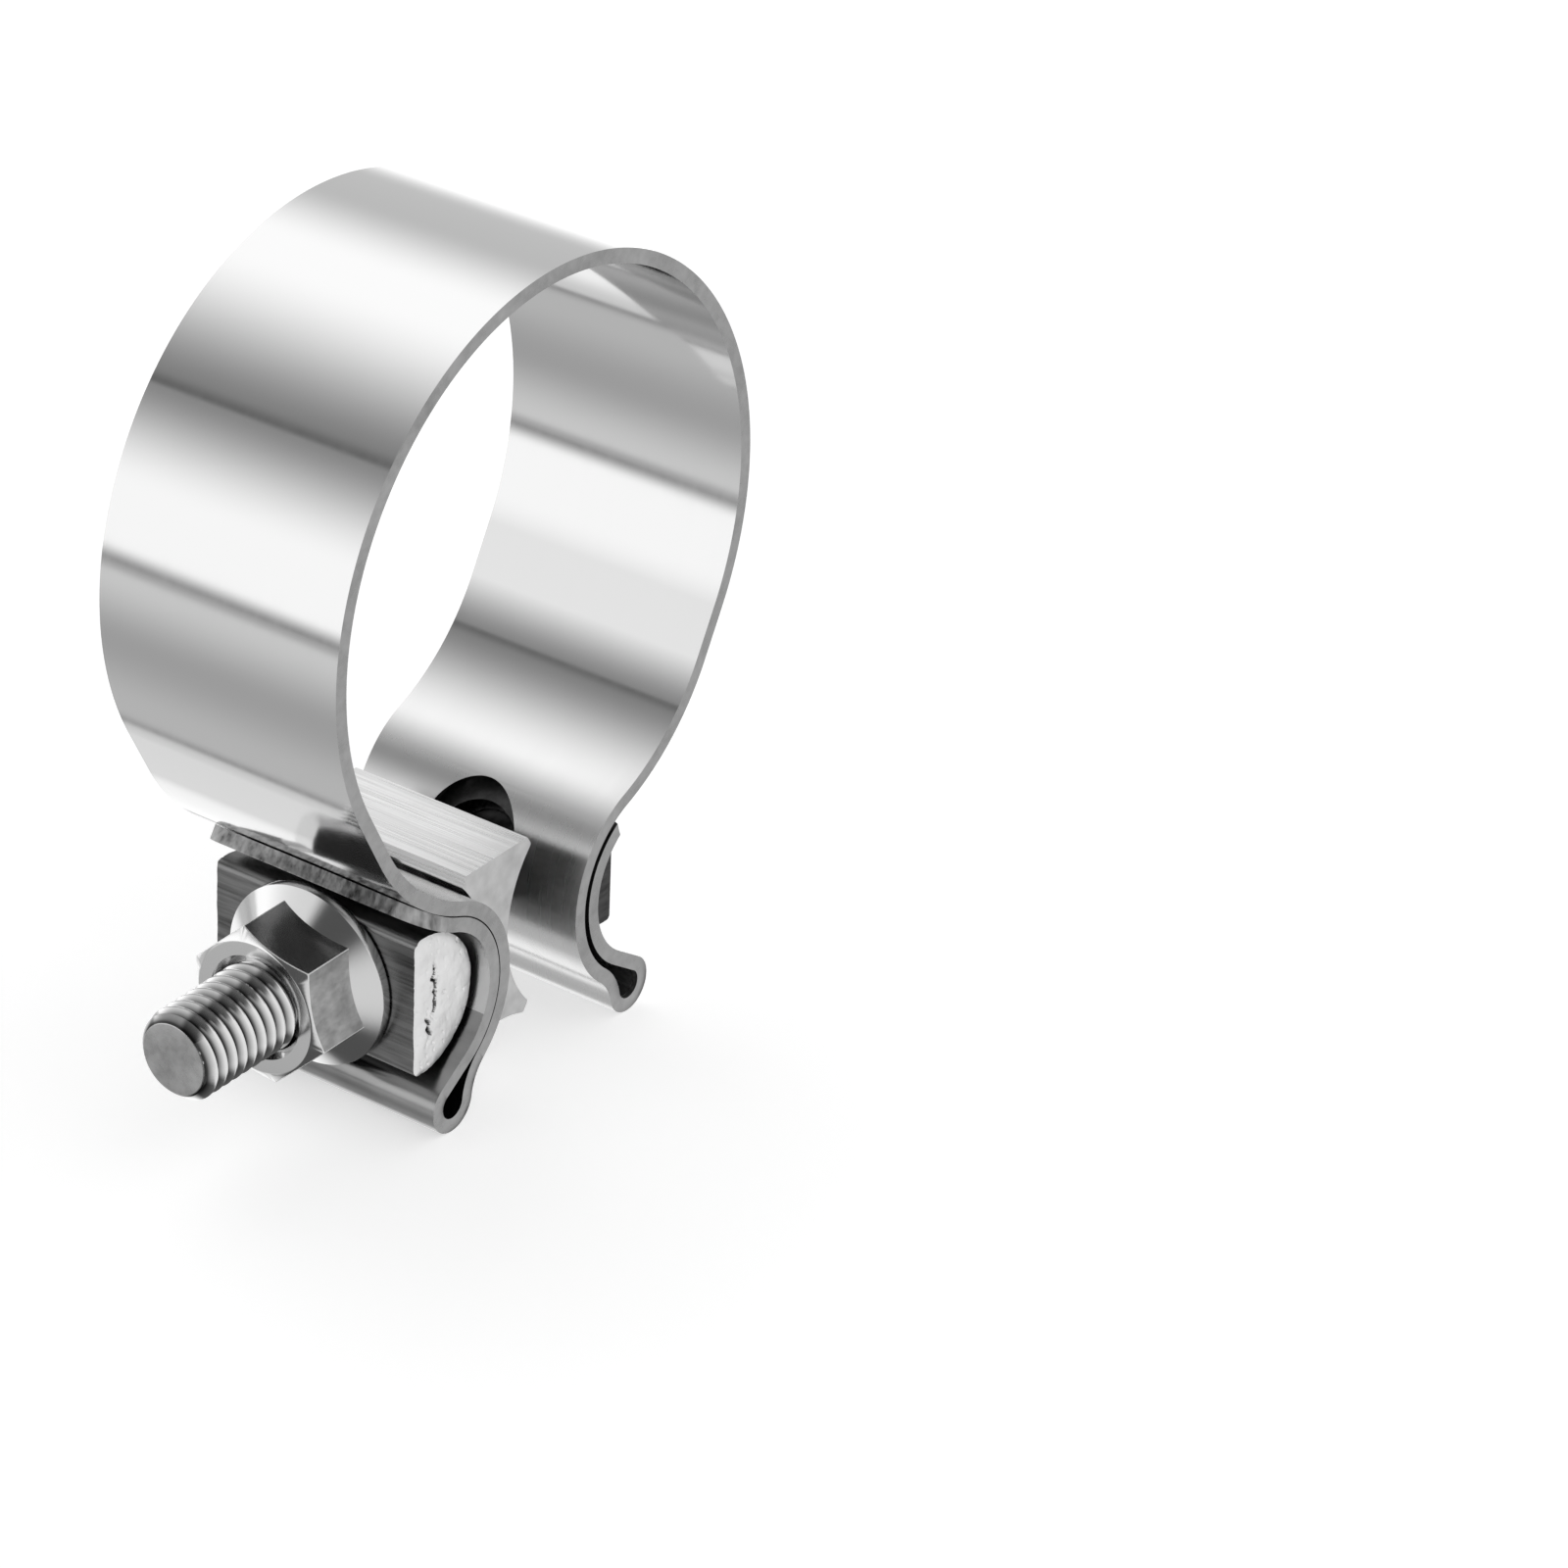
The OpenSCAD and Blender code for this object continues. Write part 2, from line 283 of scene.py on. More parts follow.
class Nodes:
    """A short way to build a material's or the world's node tree."""

    def __init__(self, tree: bpy.types.NodeTree) -> None:
        """Starts on an emptied tree."""
        self.tree = tree
        tree.nodes.clear()

    def add(self, kind: str, inputs: dict | None = None, **settings: object) -> bpy.types.Node:
        """Adds a node.

        Args:
            kind: Blender's name of the node type, without its ShaderNode prefix.
            inputs: Values or output sockets by input name or number.
            **settings: Values of the node's own properties.

        Returns:
            The new node.
        """
        node = self.tree.nodes.new("ShaderNode" + kind)
        for key, value in settings.items():
            setattr(node, key, value)
        for key, value in (inputs or {}).items():
            if isinstance(value, bpy.types.NodeSocket):
                self.tree.links.new(value, node.inputs[key])
            else:
                node.inputs[key].default_value = value
        return node

    def math(self, operation: str, *values: object) -> bpy.types.NodeSocket:
        """One arithmetic step on numbers or output sockets."""
        return self.add("Math", dict(enumerate(values)), operation=operation).outputs[0]

    def mix(self, share: object, low: object, high: object) -> bpy.types.NodeSocket:
        """A value between low, where share is 0, and high, where it is 1."""
        return self.math("MULTIPLY_ADD", share, self.math("SUBTRACT", high, low), low)

    def grain(self, scale: Sequence[float], detail: float) -> bpy.types.NodeSocket:
        """Noise on the piece's own coordinates, by its repeats in a metre along X, Y and Z."""
        spread = self.add("Mapping", {"Vector": self.add("TexCoord").outputs["Object"], "Scale": scale})
        return self.add("TexNoise", {"Vector": spread.outputs[0], "Scale": 1.0, "Detail": detail}).outputs[0]

    def span(
        self, value: bpy.types.NodeSocket, low: float, high: float, start: float = 0.3, end: float = 0.7
    ) -> bpy.types.NodeSocket:
        """Stretches a value onto a range, so that start gives low and end gives high."""
        return self.add("MapRange", {0: value, 1: start, 2: end, 3: low, 4: high}).outputs[0]

    def ease(self, value: bpy.types.NodeSocket, start: float, end: float) -> bpy.types.NodeSocket:
        """Smooth step of a value, from 0 at start to 1 at end, whichever of them is larger."""
        ends = {1: min(start, end), 2: max(start, end), 3: float(start > end), 4: float(start < end)}
        return self.add("MapRange", {0: value, **ends}, interpolation_type="SMOOTHSTEP").outputs[0]


@dataclass(frozen=True)
class Grain:
    """One layer of fine marks: how it lies, how deep it is and how it dulls the metal."""

    scale: tuple[float, float, float]
    depth: float = 0.0
    dull: float = 0.0
    shade: float = 0.0
    detail: float = 3


@dataclass(frozen=True)
class Fade:
    """A change with height: how much duller the metal is below end than above start, in millimetres."""

    start: float
    end: float
    dull: float


@dataclass(frozen=True)
class PaintedGrooveShade:
    """Painted shade in the thread grooves: the share of the metal's tone that is left at the root, in
    millimetres.
    """

    axis_z: float
    root_r: float
    crest_r: float
    left: float


@dataclass(frozen=True)
class Metal:
    """A bare metal surface, with its colour, gloss and layers of fine marks."""

    name: str
    grey: float
    roughness: float
    grains: tuple[Grain, ...] = ()
    metallic: float = 1.0
    fade: Fade | None = None
    groove: PaintedGrooveShade | None = None

    def material(self) -> bpy.types.Material:
        """The material, made once and then shared.

        Returns:
            The material of that name.
        """
        made = bpy.data.materials.get(self.name)
        if made:
            return made
        made = bpy.data.materials.new(self.name)
        made.use_nodes = True
        made.diffuse_color = grey(self.grey)
        nodes = Nodes(made.node_tree)
        rough: object = self.roughness
        tone: object = self.grey
        surface: dict[str, object] = {"Metallic": self.metallic}
        for grain in self.grains:
            marks = nodes.grain(grain.scale, grain.detail)
            if grain.dull:
                rough = nodes.math("ADD", rough, nodes.span(marks, -grain.dull, grain.dull))
            if grain.shade:
                tone = nodes.math("ADD", tone, nodes.span(marks, -grain.shade, grain.shade))
            if grain.depth:
                bump = {"Height": marks, "Distance": grain.depth * MM, "Strength": 1.0}
                if "Normal" in surface:
                    bump["Normal"] = surface["Normal"]
                surface["Normal"] = nodes.add("Bump", bump).outputs[0]
        if self.fade:
            height = self._axes(nodes)["Z"]
            low = nodes.ease(height, self.fade.start * MM, self.fade.end * MM)
            rough = nodes.math("MULTIPLY_ADD", low, self.fade.dull, rough)
        # Painted shade that darkens the thread towards its roots.
        if self.groove:
            tone = nodes.math("MULTIPLY", tone, self._painted_groove_shade(nodes))
        surface["Roughness"] = rough
        if isinstance(tone, float):
            surface["Base Color"] = grey(tone)
        else:
            surface["Base Color"] = nodes.add("CombineColor", {0: tone, 1: tone, 2: tone}).outputs[0]
        shader = nodes.add("BsdfPrincipled", surface)
        nodes.add("OutputMaterial", {"Surface": shader.outputs[0]})
        return made

    @staticmethod
    def _axes(nodes: Nodes) -> bpy.types.NodeOutputs:
        """The piece's own X, Y and Z, in metres."""
        return nodes.add("SeparateXYZ", {0: nodes.add("TexCoord").outputs["Object"]}).outputs

    def _painted_groove_shade(self, nodes: Nodes) -> bpy.types.NodeSocket:
        """Share of the tone that is left at a distance from the thread's axis: painted shade, darkest at the
        root.
        """
        axes = self._axes(nodes)
        up = nodes.math("SUBTRACT", axes["Z"], self.groove.axis_z * MM)
        square = nodes.math("MULTIPLY_ADD", up, up, nodes.math("MULTIPLY", axes["Y"], axes["Y"]))
        out = nodes.math("SQRT", square)
        return nodes.span(out, self.groove.left, 1.0, self.groove.root_r * MM, self.groove.crest_r * MM)


POLISHED = Metal(
    "polished_strip", 0.66, 0.09,
    (Grain((18, 18, 18), dull=0.02), Grain((60, 900, 60), depth=0.0006, dull=0.012, detail=4)),
    fade=Fade(-27.0, -35.0, 0.19),
)
# Darker, rougher metal on the lower part of the nut-side flange and its fold.
FOLDED = Metal(
    "darker_lower_fold", 0.3, 0.24,
    (Grain((120, 60, 120), dull=0.05, shade=0.08), Grain((700, 160, 700), depth=0.004, shade=0.03, detail=4)),
)
SHEARED = Metal(
    "sheared_edge", 0.38, 0.3,
    (
        Grain((900, 900, 900), depth=0.02, dull=0.06, shade=0.05),
        Grain((160, 160, 160), dull=0.05, shade=0.05),
    ),
)
# Painted shade: near black on the slot walls and on the folded layer's face in the gap between the layers,
# where shade falls.
SLOT_AND_GAP_SHADE = Metal("slot_and_gap_painted_shade", 0.1, 0.4, (Grain((900, 900, 900), depth=0.02, shade=0.03),))
TORN = Metal(
    "torn_end", 0.34, 0.38,
    (
        Grain((1500, 1500, 250), depth=0.08, dull=0.12, shade=0.16, detail=5),
        Grain((350, 350, 350), shade=0.1),
    ),
)
BAR_FACE = Metal(
    "brushed_bar", 0.2, 0.32,
    (
        Grain((600, 160, 2600), depth=0.02, dull=0.08, shade=0.07, detail=4),
        Grain((120, 90, 300), dull=0.05, shade=0.05),
    ),
)
BAR_END = Metal(
    "raw_bar_end", 0.95, 0.48,
    (
        Grain((500, 500, 500), depth=0.06, dull=0.08, shade=0.05, detail=5),
        Grain((1800, 1800, 1800), depth=0.015),
    ),
    metallic=0.75,
)
BLOCK_FACE = Metal(
    "brushed_block", 0.84, 0.3,
    (Grain((3200, 45, 3200), depth=0.03, dull=0.08, shade=0.13, detail=5), Grain((300, 40, 300), shade=0.05)),
)
BLOCK_END = Metal(
    "sawn_block_end", 0.62, 0.42,
    (Grain((450, 450, 450), depth=0.04, dull=0.07, shade=0.1, detail=5),),
)
# The thread's roots carry painted shade.
THREAD = Metal(
    "rolled_thread", 0.88, 0.13,
    (Grain((120, 700, 700), depth=0.004, dull=0.04, shade=0.04),),
    groove=PaintedGrooveShade(-43.2, 4.15, 4.9, 0.06),
)
# Painted shade: the bolt's head sits in the shaded channel behind the slots, so its metal is painted near
# black.
HEAD_PAINTED_SHADE = Metal(
    "bolt_head_painted_shade", 0.05, 0.34,
    (Grain((500, 1600, 1600), depth=0.02, dull=0.06, shade=0.03, detail=4),),
)
BOLT_FACE = Metal(
    "bolt_end_face", 0.46, 0.28,
    (
        Grain((900, 900, 900), depth=0.012, dull=0.06, shade=0.06, detail=4),
        Grain((220, 220, 220), shade=0.08),
    ),
)
NUT_POLISH = Metal(
    "polished_nut", 0.72, 0.14,
    (Grain((90, 90, 90), dull=0.03, shade=0.02), Grain((900, 900, 900), depth=0.002, detail=4)),
)
NUT_FLAT = Metal(
    "scratched_flat", 0.4, 0.36,
    (Grain((700, 700, 1300), depth=0.03, dull=0.06, shade=0.1, detail=5), Grain((200, 200, 260), shade=0.09)),
)
# Painted reflection: the nut's upper flat is darkened to stand for the dark band that it mirrors, in the same
# metal as the rest.
NUT_SHADE = Metal(
    "nut_flat_painted_dark_reflection", 0.3, 0.18,
    (Grain((90, 90, 90), dull=0.04, shade=0.05), Grain((900, 900, 900), depth=0.003, detail=4)),
)
# Painted highlight: the nut's rounded edges are near white to stand for the light that they catch.
NUT_EDGE_HIGHLIGHT = Metal("nut_edge_painted_highlight", 0.97, 0.4, metallic=0.4)


def finish(
    piece: bpy.types.Object, name: str, main: Metal, others: Sequence[tuple[Metal, FaceTest]]
) -> bpy.types.Object:
    """Dresses a mesh face by face, cleans it, shades it and brings it from millimetres to metres.

    Args:
        piece: The mesh object.
        name: Its name in the finished model.
        main: The finish of all faces that no other takes.
        others: Further finishes, each with the test of its faces.

    Returns:
        The finished piece.
    """
    piece.data.materials.clear()
    piece.data.materials.append(main.material())
    for number, (metal, wanted) in enumerate(others, start=1):
        piece.data.materials.append(metal.material())
        for face in piece.data.polygons:
            if wanted(face.center, face.normal):
                face.material_index = number
    with editing(piece, "VERT"):
        bpy.ops.mesh.remove_doubles(threshold=MERGE)
        bpy.ops.mesh.dissolve_degenerate(threshold=MERGE)
        turn_outwards(weld=False)
        bpy.ops.mesh.select_all(action="DESELECT")
    piece.scale = (MM, MM, MM)
    settle(piece)
    bpy.ops.object.shade_smooth_by_angle(angle=math.radians(SMOOTH_UP_TO))
    modify(piece, "WEIGHTED_NORMAL", keep_sharp=True)
    piece.name = piece.data.name = name
    return piece


# ---- The clamp's own sizes


@dataclass(frozen=True)
class Layout:
    """Sizes and places that the pieces share, in millimetres."""

    bore_r: float = 32.37
    width: float = 30.0
    strip: float = 1.6
    ring_end: float = -28.0
    blend_r: float = 24.0
    opening: float = 11.2
    axis_z: float = -43.2
    channel_r: float = 8.8
    clear: float = 0.7
    fold_r: float = 1.6
    fold_drop: float = 3.7
    fold_shift: float = 2.9
    pinch_r: float = 6.0
    bolt_r: float = 5.0
    hole_r: float = 5.4
    nut_gap: float = 0.15
    head_gap: float = 0.7
    bar_flat: float = 1.2

    @property
    def half_round_r(self) -> float:
        """Radius of the bar and of the bolt's head."""
        return self.channel_r - self.clear

    def gap(self, side: Side) -> float:
        """Gap between the two layers of a flange."""
        return self.head_gap if side is Side.HEAD else self.nut_gap

    def flange_r(self, side: Side) -> float:
        """Radius of a flange's face towards the opening."""
        return self.channel_r + 2 * self.strip + self.gap(side)

    def channel(self, side: Side) -> Point:
        """Centre of a flange's channel, in X and Z."""
        return (side.value * (self.opening / 2 + self.flange_r(side)), self.axis_z)

    @property
    def bar_flat_x(self) -> float:
        """Place of the bar's flat face."""
        return self.channel(Side.NUT)[0] - self.bar_flat


LAYOUT = Layout()


def heading(start: Point, end: Point) -> float:
    """Direction from one point to another, in degrees from +X towards +Z."""
    return math.degrees(math.atan2(end[1] - start[1], end[0] - start[0]))


def polar(radius: float, angle: float) -> Vector:
    """A step of that length in that direction, in X and Z."""
    return Vector((radius * math.cos(math.radians(angle)), radius * math.sin(math.radians(angle))))


# ---- Band


@dataclass(frozen=True)
class Push:
    """A straight length of strip."""

    step: Vector

    def turned_back(self) -> "Push":
        """The same length, made from its other end."""
        return Push(-self.step)

    def mirrored(self) -> "Push":
        """The same length on the nut's side."""
        return Push(Vector((-self.step.x, self.step.y)))

    def make(self) -> None:
        """Extrudes the selected end of the strip."""
        bpy.ops.mesh.extrude_region_move(
            TRANSFORM_OT_translate={"value": (self.step.x, 0, self.step.y)}
        )


@dataclass(frozen=True)
class Bend:
    """A bend of the strip about a line along Y."""

    centre: Vector
    sweep: float
    chord: float

    def turned_back(self) -> "Bend":
        """The same bend, made from its other end."""
        return Bend(self.centre, -self.sweep, self.chord)

    def mirrored(self) -> "Bend":
        """The same bend on the nut's side."""
        return Bend(Vector((-self.centre.x, self.centre.y)), -self.sweep, self.chord)

    def make(self) -> None:
        """Spins the selected end of the strip."""
        bpy.ops.mesh.spin(
            steps=math.ceil(abs(self.sweep) / self.chord), angle=math.radians(self.sweep),
            center=(self.centre.x, 0, self.centre.y), axis=(0, 1, 0),
        )


@dataclass(frozen=True)
class Slot:
    """A round-ended slot through one layer of a flange: its reaches from the bolt's axis."""

    up: float
    down: float
    inner_r: float
    outer_r: float


@dataclass
class Band:
    """The strip: ring, necks, doubled flanges with channels, folds, slots and rounded ends."""

    layout: Layout = LAYOUT
    nut_lip: float = 8.8
    head_lip: float = 0.3
    lip_crown: float = 2.4
    lip_corner: float = 4.5
    tear: float = 0.05
    slot_w: float = 12.0
    slot_up: float = 9.8
    slot_down: float = 6.0
    slot_half: float = 6.8
    slot_zone: Point = (-52.0, -32.0)
    fold_zone: Point = (-9.0, -47.0)
    edge: float = 0.2
    ring_chord: float = 1.5
    bend_chord: float = 2.5
    fold_chord: float = 7.0

    def build(self) -> bpy.types.Object:
        """Bends, punches and dresses the strip.

        Returns:
            The finished piece.
        """
        piece = self._bent()
        for side in Side:
            for slot in self._slots(side):
                combine(piece, self._punch(side, slot))
            combine(piece, self._end_tool(side))
        round_edges(piece, self.edge, angle=50)
        return self._finished(piece)

    def _centre(self, side: Side) -> Vector:
        """The channel's centre, as if on the head's side."""
        return Vector((abs(self.layout.channel(side)[0]), self.layout.axis_z))

    def _blend(self, side: Side) -> Vector:
        """Centre of the bend that leads from the ring into a flange, as if on the head's side."""
        lay = self.layout
        across, out, along = lay.bore_r - lay.blend_r, polar(1, lay.ring_end), polar(1, lay.ring_end - 90)
        centre = self._centre(side)
        reach = (lay.blend_r + lay.flange_r(side)) ** 2 - (centre.dot(out) - across) ** 2
        return out * across + along * (centre.dot(along) - math.sqrt(reach))

    def _neck(self, side: Side) -> float:
        """Direction from that centre to the place where the flange begins."""
        return heading(tuple(self._blend(side)), tuple(self._centre(side)))

    def _lip_r(self, side: Side) -> float:
        """Radius of the folded end about that centre, halfway through its thickness."""
        return self.layout.blend_r + 1.5 * self.layout.strip + self.layout.gap(side)

    def _tip(self, side: Side) -> float:
        """Direction from that centre to the middle of the strip's end."""
        lip = self.head_lip if side is Side.HEAD else self.nut_lip
        return self._neck(side) + math.degrees(lip / (self._lip_r(side) + self.layout.strip / 2))

    def _flange_moves(self, side: Side) -> list[Push | Bend]:
        """Bends and straights of one flange, as if on the head's side.

        Args:
            side: Which flange.

        Returns:
            The moves from the ring's end to the strip's end.
        """
        lay = self.layout
        flange_r = lay.flange_r(side)
        blend, centre = self._blend(side), self._centre(side)
        fold = centre - Vector((lay.fold_shift, lay.channel_r + lay.fold_drop))
        fold_outer = lay.fold_r + lay.strip
        span = (centre - fold).length
        to_fold = heading(tuple(centre), tuple(fold)) % 360
        foot = to_fold - math.degrees(math.acos((lay.channel_r + fold_outer) / span))
        a, b = flange_r + lay.pinch_r, fold_outer + lay.pinch_r
        lean = math.degrees(math.acos((a * a + span * span - b * b) / (2 * a * span)))
        pinch = centre + polar(a, to_fold - lean)
        pinch_start = heading(tuple(centre), tuple(pinch)) % 360
        pinch_end = heading(tuple(fold), tuple(pinch)) % 360
        neck = self._neck(side)
        straight = fold + polar(fold_outer, foot + 180) - centre - polar(lay.channel_r, foot)
        return [
            Push(blend - polar(lay.bore_r - lay.blend_r, lay.ring_end)),
            Bend(blend, neck - lay.ring_end, self.ring_chord),
            Bend(centre, pinch_start - neck - 180, self.bend_chord),
            Bend(pinch, pinch_end - pinch_start, self.bend_chord),
            Bend(fold, foot + 180 - pinch_end, self.fold_chord),
            Push(-straight),
            Bend(centre, neck + 180 - foot, self.bend_chord),
            Bend(blend, self._tip(side) - neck, self.ring_chord),
        ]

    def _bent(self) -> bpy.types.Object:
        """Draws the strip's end section and bends the whole strip from it.

        Returns:
            The bent strip, without its slots.
        """
        lay = self.layout
        moves = [move.turned_back() for move in reversed(self._flange_moves(Side.HEAD))]
        moves.append(Bend(Vector((0, 0)), 180 - 2 * lay.ring_end, self.ring_chord))
        moves += [move.mirrored() for move in self._flange_moves(Side.NUT)]
        tip = self._tip(Side.HEAD)
        middle = self._blend(Side.HEAD) + polar(self._lip_r(Side.HEAD), tip)
        bpy.ops.mesh.primitive_plane_add(
            size=1, location=(middle.x, 0, middle.y), rotation=(0, -math.radians(tip), 0)
        )
        strip = bpy.context.object
        strip.scale = (lay.strip, lay.width, 1)
        settle(strip)
        with editing(strip):
            for move in moves:
                move.make()
            turn_outwards(weld=True)
        return strip

    def _slots(self, side: Side) -> tuple[Slot, Slot]:
        """The slots of a flange: through its outer layer, and through the folded one."""
        lay = self.layout
        between = lay.channel_r + lay.strip + lay.gap(side) / 2
        return (
            Slot(self.slot_up, self.slot_down, between, lay.flange_r(side) + 1),
            Slot(self.slot_half, self.slot_half, lay.channel_r - 1, between),
        )

    def _punch(self, side: Side, slot: Slot) -> bpy.types.Object:
        """The tool that cuts one slot.

        Args:
            side: Which flange.
            slot: The slot's reaches and the radii between which it cuts.

        Returns:
            The closed tool.
        """
        x, z = self.layout.channel(side)
        half, length = self.slot_w / 2, slot.outer_r + 1
        tool = rod(half, length, Along.BOLT, (x - side.value * length / 2, 0, z), 64)
        for sign, reach in ((1, slot.up), (-1, slot.down)):
            pick(tool, "vertices", lambda point, sign=sign: sign * (point.co.z - z) > 0.01)
            with editing(tool, "VERT", whole=False):
                bpy.ops.transform.translate(value=(0, 0, sign * (reach - half)))
        shell = rod(slot.outer_r, self.slot_w + 4, Along.PIPE, (x, 0, z), 192)
        combine(shell, rod(slot.inner_r, self.slot_w + 6, Along.PIPE, (x, 0, z), 192))
        combine(tool, shell, "INTERSECT")
        return tool

    def _end_tool(self, side: Side) -> bpy.types.Object:
        """The tool that shears a rounded, torn end on the strip.

        Args:
            side: Which end.

        Returns:
            The closed tool.
        """
        lay = self.layout
        half = lay.width / 2
        end_r = (half * half + self.lip_crown**2) / (2 * self.lip_crown)
        below, above = 0.8, 0.07
        blend, lip_r, tip = self._blend(side), self._lip_r(side), self._tip(side)
        bpy.ops.mesh.primitive_grid_add(x_subdivisions=160, y_subdivisions=14, size=1)
        tool = bpy.context.object
        tool.scale = (lay.width + 2, lay.strip + below + above, 1)
        settle(tool)
        for vertex in tool.data.vertices:
            across, depth = vertex.co.x, vertex.co.y + (above - below) / 2
            bow = math.sqrt(end_r**2 - across**2) - end_r
            if side is Side.NUT:
                past = min(max(abs(across) - half + self.lip_corner, 0) / self.lip_corner, 0.995)
                bow -= self.lip_corner * (1 - math.sqrt(1 - past**2))
            tear = noise.fractal(Vector((across * 3.4, depth * 0.6, side.value * 9)), 1.0, 2.0, 3)
            torn = self.tear * (tear - 1.2) * (0.35 + 0.65 * (0.5 + depth / lay.strip))
            place = blend + polar(lip_r - depth, tip + math.degrees((bow + torn) / lip_r))
            vertex.co = (place.x, across, place.y)
        with editing(tool):
            bpy.ops.mesh.spin(
                steps=10, angle=math.radians(20), center=(blend.x, 0, blend.y), axis=(0, 1, 0)
            )
        if side is Side.NUT:
            tool.data.transform(Matrix.Scale(-1, 4, (1, 0, 0)))
        with editing(tool):
            turn_outwards(weld=False)
        return tool

    def _radial(self, centre: Vector) -> Vector:
        """The way from the axis of the nearer channel to a face's centre, across the pipe."""
        x, z = self.layout.channel(Side.HEAD if centre.x > 0 else Side.NUT)
        return Vector((centre.x - x, 0, centre.z - z))

    def _finished(self, piece: bpy.types.Object) -> bpy.types.Object:
        """Polishes the strip, marks its rims, folds and torn ends, and paints shade on its slot walls and on
        the folded layer's face in the gap.

        Args:
            piece: The strip, still in millimetres.

        Returns:
            The finished piece.
        """
        lay = self.layout
        layer_r = lay.channel_r + lay.strip
        ends = [
            (side.value, self._blend(side), self._lip_r(side), polar(self._lip_r(side), self._tip(side)))
            for side in Side
        ]

        def rim(centre: Vector, normal: Vector) -> bool:
            return abs(normal.y) > 0.6 and abs(centre.y) > lay.width / 2 - 0.3

        # Walls of the slots, which take painted shade.
        def slot_wall(centre: Vector, normal: Vector) -> bool:
            low, high = self.slot_zone
            near = abs(centre.y) < self.slot_w / 2 + 0.4 and low < centre.z < high
            return near and abs(self._radial(centre).normalized().dot(normal)) < 0.5

        def torn(centre: Vector, normal: Vector) -> bool:
            for sign, blend, lip_r, tip in ends:
                out = Vector((centre.x * sign, centre.z)) - blend
                run = Vector((-out.y, out.x)).normalized()
                near = (out - tip).length < 8 and abs(out.length - lip_r) < lay.strip / 2 + 0.05
                if near and Vector((normal.x * sign, normal.z)).dot(run) > 0.2:
                    return True
            return False

        def folded(centre: Vector, _: Vector) -> bool:
            return centre.x < self.fold_zone[0] and centre.z < self.fold_zone[1]

        # The folded layer's face towards the outer layer, in the gap, which takes painted shade.
        def between(centre: Vector, normal: Vector) -> bool:
            out = self._radial(centre)
            return abs(out.length - layer_r) < 0.1 and out.normalized().dot(normal) > 0.9

        return finish(
            piece, "band_strip", POLISHED,
            ((FOLDED, folded), (SHEARED, rim), (SLOT_AND_GAP_SHADE, slot_wall), (SLOT_AND_GAP_SHADE, between), (TORN, torn)),
        )


# ---- Spacer bar


@dataclass
class SpacerBar:
    """Half-round bar in the nut-side channel, drilled for the bolt and left rough at its ends."""

    layout: Layout = LAYOUT
    inset: float = 1.6
    corner: float = 0.9
    cell: float = 0.12
    spare: float = 0.6
    crack_w: float = 0.18
    crack_depth: float = 0.85
    cracks: tuple[tuple[float, float, float], ...] = ((1.9, 1.2, 2.9), (0.9, -3.1, 1.2))

    def build(self) -> bpy.types.Object:
        """Makes the bar.

        Returns:
            The finished piece.
        """
        lay = self.layout
        centre = lay.channel(Side.NUT)
        half = lay.width / 2 - self.inset
        outline = half_round(centre, lay.half_round_r, lay.bar_flat, self.corner, 1)
        piece = prism(outline, -half - 1, half + 1)
        combine(piece, self._rough_ends(centre, half), "INTERSECT")
        combine(piece, rod(lay.hole_r, 24, Along.BOLT, (centre[0], 0, centre[1]), 96))

        def end(place: Vector, normal: Vector) -> bool:
            return abs(place.y) > half - 0.5 and abs(normal.y) > 0.35

        return finish(piece, "spacer_bar_steel", BAR_FACE, ((BAR_END, end),))

    def _rough_ends(self, centre: Point, half: float) -> bpy.types.Object:
        """A block whose two ends are sheared faces, rough and cracked.

        Args:
            centre: The channel's centre.
            half: Half of the bar's length.

        Returns:
            The closed block, a little wider than the bar's section.
        """
        reach = self.layout.half_round_r + self.spare
        low = (centre[0] - self.layout.bar_flat - self.spare, -half, centre[1] - reach)
        high = (centre[0] + reach, half, centre[1] + reach)
        block = brick(low, high)
        pick(block, "polygons", lambda face: abs(face.normal.y) > 0.9)
        cuts = math.ceil((high[2] - low[2]) / self.cell)
        with editing(block, whole=False):
            bpy.ops.mesh.subdivide(number_cuts=cuts)
        for vertex in block.data.vertices:
            inside = all(low[i] + 0.01 < vertex.co[i] < high[i] - 0.01 for i in (0, 2))
            if inside and abs(abs(vertex.co.y) - half) < MERGE:
                sign = math.copysign(1, vertex.co.y)
                u, v = vertex.co.x - centre[0], vertex.co.z - centre[1]
                vertex.co.y -= sign * self._sink(u, v, sign)
        return block

    def _sink(self, u: float, v: float, sign: float) -> float:
        """How far a point of a bar's end lies inside the bar's full length.

        Args:
            u: Distance from the channel's centre, towards the crown.
            v: Height above the bolt's axis.
            sign: Which end, -1 in front and 1 behind.

        Returns:
            The depth.
        """
        edge = min(self.layout.half_round_r - math.hypot(max(u, 0), v), u + self.layout.bar_flat)
        roll = 0.28 * math.exp(-max(edge, 0) / 0.35)
        seed = 3.0 * sign
        lumps = 0.10 * (1 + noise.fractal(Vector((u * 0.35, v * 0.35, seed)), 1.0, 2.0, 4))
        pits = max(0.0, noise.noise(Vector((u * 1.9, v * 1.9, seed + 20))) - 0.42) * 0.6
        jag = noise.noise(Vector((v * 0.9, seed, 0))) + 0.3 * noise.noise(Vector((v * 2.3, seed, 5)))
        cracks = 0.0
        for across, middle, reach in self.cracks:
            near = math.exp(-(((u - across - 0.7 * jag) / self.crack_w) ** 2))
            cracks += self.crack_depth * near * (0.5 + 0.5 * math.tanh((reach - abs(v - middle)) / 0.5))
        return roll + lumps + pits + cracks


